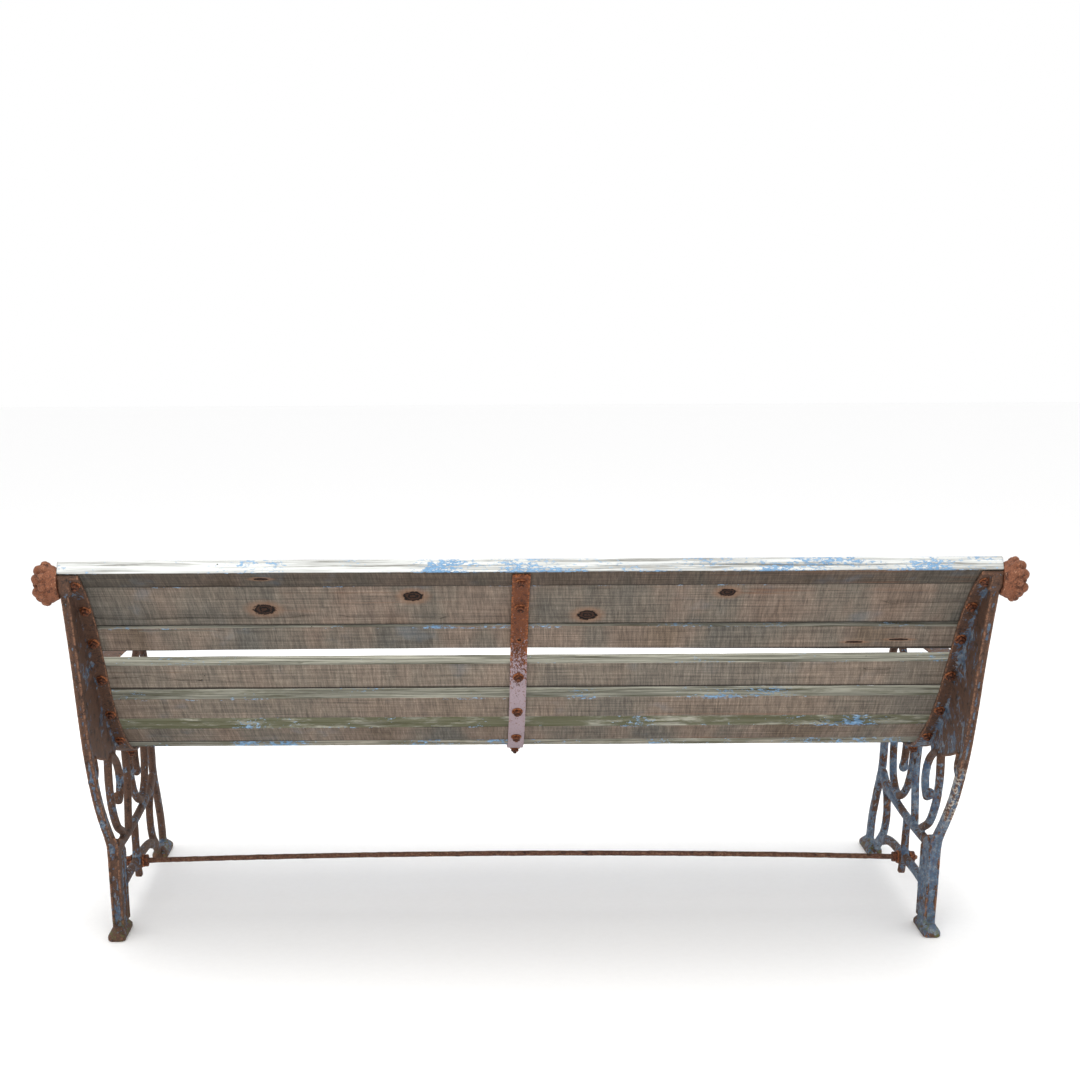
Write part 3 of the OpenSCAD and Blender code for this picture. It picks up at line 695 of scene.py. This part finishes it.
def rusted_iron(name, seed, dark, mid, bright, paint=None, paint_share=0.0, low_paint=0.0,
                cream=0.0, pitting=1.0, scale=1.0, moss=0.0, residue=0.0):
    """Cast or wrought iron rusted in the open.

    The eye gets a crust in browns from near black to orange, in blotches of about 20 mm with
    3 mm scabs on them, matt and pitted, and flakes of blue paint thickest in the hollows.
    """
    material, tree = empty_material(name)
    texture = tree.nodes.new("ShaderNodeTexCoord")
    place = texture.outputs["Object"]
    moved = add(tree, "VectorMath", {0: place, 1: (seed * 2.1, seed * 1.7, seed)})
    split = tree.nodes.new("ShaderNodeSeparateXYZ")
    tree.links.new(place, split.inputs[0])
    height = split.outputs[2]

    def pattern(fine, detail=4.0, rough=0.6, warp=0.0, stretch=(1, 1, 1)):
        at = add(tree, "VectorMath", {0: moved, 1: stretch}, operation="MULTIPLY")
        return add(tree, "TexNoise", {"Vector": at, "Scale": fine * scale, "Detail": detail,
                                      "Roughness": rough, "Distortion": warp})

    def above(value, low, high):
        return add(tree, "MapRange", {"Value": value, "From Min": low, "From Max": high},
                   interpolation_type="SMOOTHSTEP")

    def times(a, b):
        return add(tree, "Math", {0: a, 1: b}, operation="MULTIPLY")

    def plus(a, b):
        return add(tree, "Math", {0: a, 1: b}, operation="ADD")

    def coat(under, over, share):
        return add(tree, "Mix", {0: share, 6: under, 7: over}, data_type="RGBA", out=2)

    blotches = pattern(48, 4.0, 0.6)
    scabs = pattern(330, 4.0, 0.65, warp=0.3)
    grit = pattern(1100, 2.0, 0.7)
    raised = add(tree, "NewGeometry", out=7)
    body = add(tree, "ValToRGB", {"Fac": plus(times(blotches, 0.65), times(scabs, 0.35))},
               [(0.36, dark), (0.48, mid), (0.60, mid), (0.70, bright)])
    shade = add(tree, "ValToRGB", {"Fac": scabs}, [
        (0.34, "#5a5a5a"), (0.5, "#808080"), (0.66, "#b0b0b0")])
    body = add(tree, "Mix", {0: 0.7, 6: body, 7: shade}, data_type="RGBA", blend_type="OVERLAY", out=2)
    # Orange rust on raised edges: partly crust knocked off, partly a painted highlight
    worn_edges_and_highlight = times(above(raised, 0.515, 0.56), above(pattern(150, 3.0), 0.42, 0.6))
    body = coat(body, linear(bright), times(worn_edges_and_highlight, 0.75))
    lift = scabs
    if paint:
        flakes = pattern(160, 6.0, 0.68, stretch=(1, 1, 0.55))
        areas = pattern(20, 3.0, 0.6)
        hollow = add(tree, "MapRange", {"Value": raised, "From Min": 0.46, "From Max": 0.53,
                                        "To Min": 0.10, "To Max": -0.05})
        low = add(tree, "MapRange", {"Value": height, "From Min": 0.48, "From Max": 0.30,
                                     "To Min": 0.0, "To Max": low_paint})
        cover = plus(plus(times(flakes, 0.55), times(areas, 0.55)), plus(hollow, low))
        share = above(cover, 0.66 - paint_share, 0.70 - paint_share)
        tone = add(tree, "ValToRGB", {"Fac": pattern(75, 4.0, 0.7)},
                   [(0.36, paint[0]), (0.50, paint[1]), (0.66, paint[2])])
        body = coat(body, tone, times(share, 0.92))
        # rust bleeding through the thin paint
        body = coat(body, linear(mid), times(times(share, above(scabs, 0.50, 0.62)), 0.65))
        lift = plus(times(scabs, 0.8), times(share, 0.35))
    if cream:
        old = above(plus(times(pattern(120, 5.0, 0.7), 0.7), times(pattern(30, 2.0), 0.3)), 0.53, 0.57)
        region = times(above(height, 0.20, 0.26), add(tree, "MapRange", {
            "Value": height, "From Min": 0.36, "From Max": 0.44, "To Min": 1.0, "To Max": 0.0}))
        rear = add(tree, "MapRange", {"Value": split.outputs[1], "From Min": 0.20, "From Max": 0.23,
                                      "To Min": 0.0, "To Max": 1.0})
        body = coat(body, linear("#b9b0a3"), times(times(old, region), times(rear, cream)))
    if residue:
        # Lilac-white remains of undercoat on the strap, thicker towards its foot
        thick = add(tree, "MapRange", {"Value": height, "From Min": 0.72, "From Max": 0.54,
                                       "To Min": -0.14, "To Max": 0.12})
        spread = above(plus(pattern(210, 6.0, 0.75, stretch=(1, 1, 0.45)), thick), 0.485, 0.53)
        body = coat(body, linear("#a3939a"), times(spread, residue))
        lift = plus(lift, times(spread, 0.3))
    if moss:
        green = times(above(pattern(70, 5.0, 0.7), 0.50, 0.62), add(tree, "MapRange", {
            "Value": height, "From Min": 0.012, "From Max": 0.05, "To Min": moss, "To Max": 0.0}))
        body = coat(body, linear("#575c33"), green)
    # Painted shade: the bottoms of the hollows darkened to near black
    deep = add(tree, "MapRange", {"Value": raised, "From Min": 0.40, "From Max": 0.49,
                                  "To Min": 0.7, "To Max": 0.0})
    body = coat(body, linear("#17110f"), deep)
    bumps = plus(times(lift, 1.0), times(grit, 0.35))
    relief = add(tree, "Bump", {"Height": bumps, "Strength": 0.8, "Distance": 0.0012 * pitting})
    dull = add(tree, "MapRange", {"Value": scabs, "From Min": 0.3, "From Max": 0.7,
                                  "To Min": 0.62, "To Max": 0.92})
    finish_material(tree, add(tree, "BsdfPrincipled", {
        "Base Color": body, "Metallic": 0.0, "Roughness": dull, "Normal": relief,
        "Specular IOR Level": 0.35}))
    return material


blue_paint = ("#35506c", "#52697f", "#7f8c96")
for side, name in ((1, "left"), (-1, "right")):
    iron = rusted_iron(
        f"sand_cast_iron_rusted_blue_paint_{name}", 3 + side, "#2a1d17", "#654838", "#9c6f54",
        paint=blue_paint, paint_share=0.02 if side > 0 else 0.05,
        low_paint=0.06 if side > 0 else 0.12, cream=0.0 if side > 0 else 0.9, moss=0.8)
    piece = new_piece(f"cast_end_{name}", cast_end(side), iron)
    melt(piece, 0.0024, 3, 0.0003, 90)
    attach(piece, "root")
    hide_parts(f"end_frame_{name}")

# ======== Rosettes ========
# A cast flower covers the rolled top of each end: a scalloped rim ribbed like a shell, six fat
# petals in front of it and a round heart. All paint is gone and the rust is fresh terracotta.

roll_y, roll_z = zero_y + 0.164, 0.822


def rosette(side):
    """The flower as overlapping lobes, facing out along the bench."""
    build = bmesh.new()
    out = half_length * side

    def lobe(x, radius, angle, size):
        place = Vector((out + side * x, roll_y + radius * math.cos(angle),
                        roll_z + radius * math.sin(angle)))
        turned = Matrix.Rotation(angle, 4, "X")
        bmesh.ops.create_icosphere(build, subdivisions=3, radius=1.0,
                                   matrix=Matrix.Translation(place) @ turned
                                   @ Matrix.Diagonal((*size, 1)))

    profile = [(0.0, 0.030), (0.006, 0.033), (0.012, 0.0365), (0.018, 0.0378),
               (0.027, 0.0372), (0.032, 0.030)]
    rings = []
    for x, radius in profile:
        ring = []
        for k in range(96):
            angle = 2 * math.pi * k / 96
            flute = 1 - 0.055 * abs(math.sin(6 * angle)) ** 0.6 if radius > 0.023 else 1
            ring.append(build.verts.new((out + side * x, roll_y + radius * flute * math.cos(angle),
                                         roll_z + radius * flute * math.sin(angle))))
        rings.append(ring)
    skin(build, rings)
    for k in range(12):
        lobe(0.0245, 0.0352, math.radians(30 * k), (0.0078, 0.0085, 0.0088))
    for k in range(6):
        lobe(0.035, 0.0245, math.radians(60 * k + 30), (0.0120, 0.0115, 0.0110))
    lobe(0.036, 0.0, 0.0, (0.0095, 0.0125, 0.0125))
    bmesh.ops.recalc_face_normals(build, faces=build.faces)
    return build


for side, name in ((1, "left"), (-1, "right")):
    iron = rusted_iron(f"sand_cast_iron_bare_rust_{name}", 11 + side, "#4a281b", "#965d41", "#cf9d7e",
                       pitting=1.3, scale=1.3)
    piece = new_piece(f"flower_{name}", rosette(side), iron)
    melt(piece, 0.0013, 2, 0.0006, 170)
    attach(piece, "root")
    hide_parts(f"rosette_{name}")

# ======== Turned and square ironwork ========
# Coach bolts go in from the sitter's side through slat and iron, each with a washer and a square
# nut behind. They are plain mild steel, rusted fast, with a dark crust and orange rims.


def turned(build, place, profile, squareness=2.0, count=28, ragged=0.0, seed=0):
    """Spins a profile of (radius, height) about the local Z of place, squarer as asked."""
    rings = []
    for radius, level in profile:
        ring = []
        for k in range(count):
            angle = 2 * math.pi * k / count
            c, s = math.cos(angle), math.sin(angle)
            grow = (abs(c) ** squareness + abs(s) ** squareness) ** (-1 / squareness)
            grow *= 1 + ragged * drift(c * 2.2 + seed, s * 2.2, level * 400)
            ring.append(build.verts.new(place @ Vector((radius * c * grow, radius * s * grow, level))))
        rings.append(ring)
    skin(build, rings)


dark_rust = rusted_iron("mild_steel_rust_crust", 21, "#1f130f", "#4f2c1c", "#8a4f30",
                        pitting=1.0, scale=1.6)
orange_rust = rusted_iron("mild_steel_fresh_rust", 23, "#4a2a1c", "#7d4529", "#b06c40",
                          pitting=1.0, scale=1.6)


def on_slat(node, x):
    """The axes of a slat's bolt at x: origin on the slat's back face, Z towards the sitter."""
    place, _, _, thick = lie(node)
    return place @ Matrix.Translation((x, 0, -thick / 2))


def gap_behind(place, x):
    """How far the curved iron stands off a slat's back face at the bolt."""
    line = [place.inverted() @ standing(*on_ledge(s), x) for s in range(0, 1000, 3)]
    return -min(line, key=lambda point: abs(point.y)).z


washer_thick, nut_thick, stub = 0.002, 0.007, 0.004
strap_x = 0.016
end_bolt_x = 0.871
groups = {"strap": (strap_x, 0.006, "strap"), "left": (end_bolt_x, 0.008, "end"),
          "right": (-end_bolt_x, 0.008, "end")}
for group, (x, iron_thick, kind) in groups.items():
    bolts, washers, nuts = bmesh.new(), bmesh.new(), bmesh.new()
    for number, node in enumerate(slats):
        if kind == "strap" and node == "back_slat_3":
            continue        # this bolt is lost
        thick = lie(node)[3]
        place = on_slat(node, x)
        back = -gap_behind(place, x) - iron_thick - 0.0003
        turned(washers, place, [(0.0045, back - 0.0021), (0.0112, back - 0.0019),
                                (0.0115, back - 0.001), (0.0113, back - 0.0001), (0.0045, back)],
               count=32, ragged=0.04, seed=number)
        under = back - washer_thick
        turn = place @ Matrix.Rotation(math.radians(17 * number), 4, "Z")
        turned(nuts, turn, [(0.0042, under - nut_thick), (0.0066, under - nut_thick + 0.0002),
                            (0.0076, under - nut_thick + 0.0014), (0.0078, under - nut_thick / 2),
                            (0.0077, under - 0.0006), (0.0045, under)], squareness=5.0, count=32,
               ragged=0.05, seed=number + 3)
        end = under - nut_thick
        turned(bolts, place, [(0.0022, end - stub), (0.0036, end - stub + 0.0007),
                              (0.0040, end - stub + 0.0014), (0.0037, end - stub + 0.0022),
                              (0.0040, end - stub + 0.0030), (0.0040, end), (0.0039, 0.0),
                              (0.0039, thick + 0.0003), (0.0096, thick + 0.0003),
                              (0.0098, thick + 0.0012), (0.0085, thick + 0.0032),
                              (0.0055, thick + 0.0045), (0.0018, thick + 0.0050)],
               ragged=0.03, seed=number + 6)
    for build in (bolts, washers, nuts):
        bmesh.ops.recalc_face_normals(build, faces=build.faces)
    ending = "" if kind == "strap" else f"_{group}"
    for part, build, rust in (("bolts", bolts, dark_rust), ("washers", washers, orange_rust),
                              ("nuts", nuts, dark_rust)):
        piece = new_piece(f"{kind}_{part}_rusted{ending}", build, rust)
        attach(piece, "root")
        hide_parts(f"{kind}_{part}{ending}")

for side, name in ((1, "left"), (-1, "right")):
    build = bmesh.new()
    outward = (Matrix.Translation((half_length * side, roll_y, roll_z))
               @ Matrix.Rotation(side * math.pi / 2, 4, "Y"))
    low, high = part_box(f"rosette_screw_{name}")
    reach = abs(high.x if side > 0 else low.x) - half_length
    turned(build, outward, [(0.0035, -0.035), (0.0040, -0.034), (0.0040, -0.031), (0.0078, -0.0308),
                            (0.0085, -0.0295), (0.0085, -0.0255), (0.0078, -0.0245), (0.0040, -0.0243),
                            (0.0039, 0.030), (0.0110, reach - 0.0095), (0.0118, reach - 0.0080),
                            (0.0100, reach - 0.0040), (0.0060, reach - 0.0012),
                            (0.0015, reach - 0.0003)],
           ragged=0.03, seed=side)
    bmesh.ops.recalc_face_normals(build, faces=build.faces)
    piece = new_piece(f"flower_screw_{name}", build, dark_rust)
    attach(piece, "root")
    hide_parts(f"rosette_screw_{name}")

# ======== Mid strap ========
# A hand-bent wrought flat bar 35 mm wide carries the middle of every slat. Orange rust above,
# lilac-white undercoat below, and an empty hole where the third slat's bolt is lost.

strap_half = 0.0172
build = bmesh.new()
rings = []
for k in range(245):
    s = 8 + (986 - 8) * k / 244
    near, far = on_ledge(s, -0.3), on_ledge(s, -5.9)
    inward = standing(*near, 0) - standing(*far, 0)
    ring = []
    for u, v in ((-1, 0.12), (-0.96, 0), (-0.5, 0), (0, 0), (0.5, 0), (0.96, 0), (1, 0.12), (1, 0.88),
                 (0.96, 1), (0.5, 1), (0, 1), (-0.5, 1), (-0.96, 1), (-1, 0.88)):
        edge = 1 + (0.012 * drift(s / 9, u * 3, 2) + 0.02 * drift(s / 40, u, 5)) * (abs(u) > 0.9)
        point = standing(*far, strap_x + strap_half * u * edge) + inward * v
        ring.append(build.verts.new(point))
    rings.append(ring)
skin(build, rings)
bmesh.ops.recalc_face_normals(build, faces=build.faces)
strap_iron = rusted_iron("wrought_flat_bar_rust_and_undercoat", 31, "#4f2c1d", "#7c4629", "#b0683a",
                         pitting=1.4, scale=1.2, residue=0.9)
strap = new_piece("strap_bent_bar", build, strap_iron)
cutter_build = bmesh.new()
turned(cutter_build, on_slat("back_slat_3", strap_x), [(0.0045, -0.02), (0.0043, 0.004)], count=24)
bmesh.ops.recalc_face_normals(cutter_build, faces=cutter_build.faces)
cutter = new_piece("empty_hole_cutter", cutter_build, strap_iron)
hole = strap.modifiers.new("hole", "BOOLEAN")
hole.object = cutter
hole.solver = "EXACT"
bpy.context.view_layer.objects.active = strap
bpy.ops.object.modifier_apply(modifier="hole")
bpy.data.objects.remove(cutter)
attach(strap, "root")
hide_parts("mid_strap")

# ======== Tie rod ========
# A round mild-steel rod, bowed up a little by hand, ties the two ends low down. A square nut and
# a washer grip each end's boss. Deep pitting has made it as rough as bark.

rod_low, rod_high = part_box("tie_rod")
rod_y, rod_reach = (rod_low.y + rod_high.y) / 2, rod_high.x
rod_rise = 0.014
rod_ends_up = 0.086
bend = (0.9 ** 2 + rod_rise ** 2) / (2 * rod_rise)


def rod_place(x):
    """Axes square to the bent rod at x: Z along it, away from the sitter's right."""
    angle = math.asin(x / bend)
    up = rod_ends_up + rod_rise + bend * (math.cos(angle) - 1)
    return Matrix.Translation((x, rod_y, up)) @ Matrix.Rotation(math.pi / 2 + angle, 4, "Y")


build = bmesh.new()
rings = []
for k in range(461):
    x = -rod_reach + 2 * rod_reach * k / 460
    place = rod_place(x)
    thin = 0.6 if k in (0, 460) else 0.92
    ring = []
    for j in range(18):
        angle = 2 * math.pi * j / 18
        c, s = math.cos(angle), math.sin(angle)
        radius = (0.0065 * thin + 0.0005 * drift(x * 110, c * 1.5, s * 1.5)
                  + 0.0004 * drift(x * 33, c, s + 4))
        ring.append(build.verts.new(place @ Vector((radius * c, radius * s, 0))))
    rings.append(ring)
skin(build, rings)
bmesh.ops.recalc_face_normals(build, faces=build.faces)
bark_rust = rusted_iron("mild_steel_rod_deep_pitting", 41, "#2a1a13", "#6f4a37", "#bb8f73",
                        pitting=1.8, scale=1.3)
piece = new_piece("tie_rod_pitted", build, bark_rust)
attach(piece, "root")
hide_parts("tie_rod")

washers, nuts = bmesh.new(), bmesh.new()
for side in (1, -1):
    for inner, way in ((0.876 - 0.0006, -1), (half_length + 0.0006, 1)):
        face = rod_place(side * inner) @ Matrix.Rotation(0 if side * way > 0 else math.pi, 4, "Y")
        turned(washers, face, [(0.0070, 0.0), (0.0147, 0.0001), (0.0150, 0.0015),
                               (0.0146, 0.0029), (0.0070, 0.003)],
               count=36, ragged=0.04, seed=side + way)
        turned(nuts, face @ Matrix.Rotation(0.35, 4, "Z"),
               [(0.0062, 0.003), (0.0112, 0.0032), (0.0115, 0.005), (0.0115, 0.0110),
                (0.0108, 0.0128), (0.0062, 0.013)],
               squareness=5.0, count=40, ragged=0.04, seed=side + way + 9)
for part, build, rust in (("washers", washers, orange_rust), ("nuts", nuts, dark_rust)):
    bmesh.ops.recalc_face_normals(build, faces=build.faces)
    piece = new_piece(f"tie_rod_{part}_rusted", build, rust)
    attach(piece, "root")
    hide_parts(f"tie_rod_{part}")
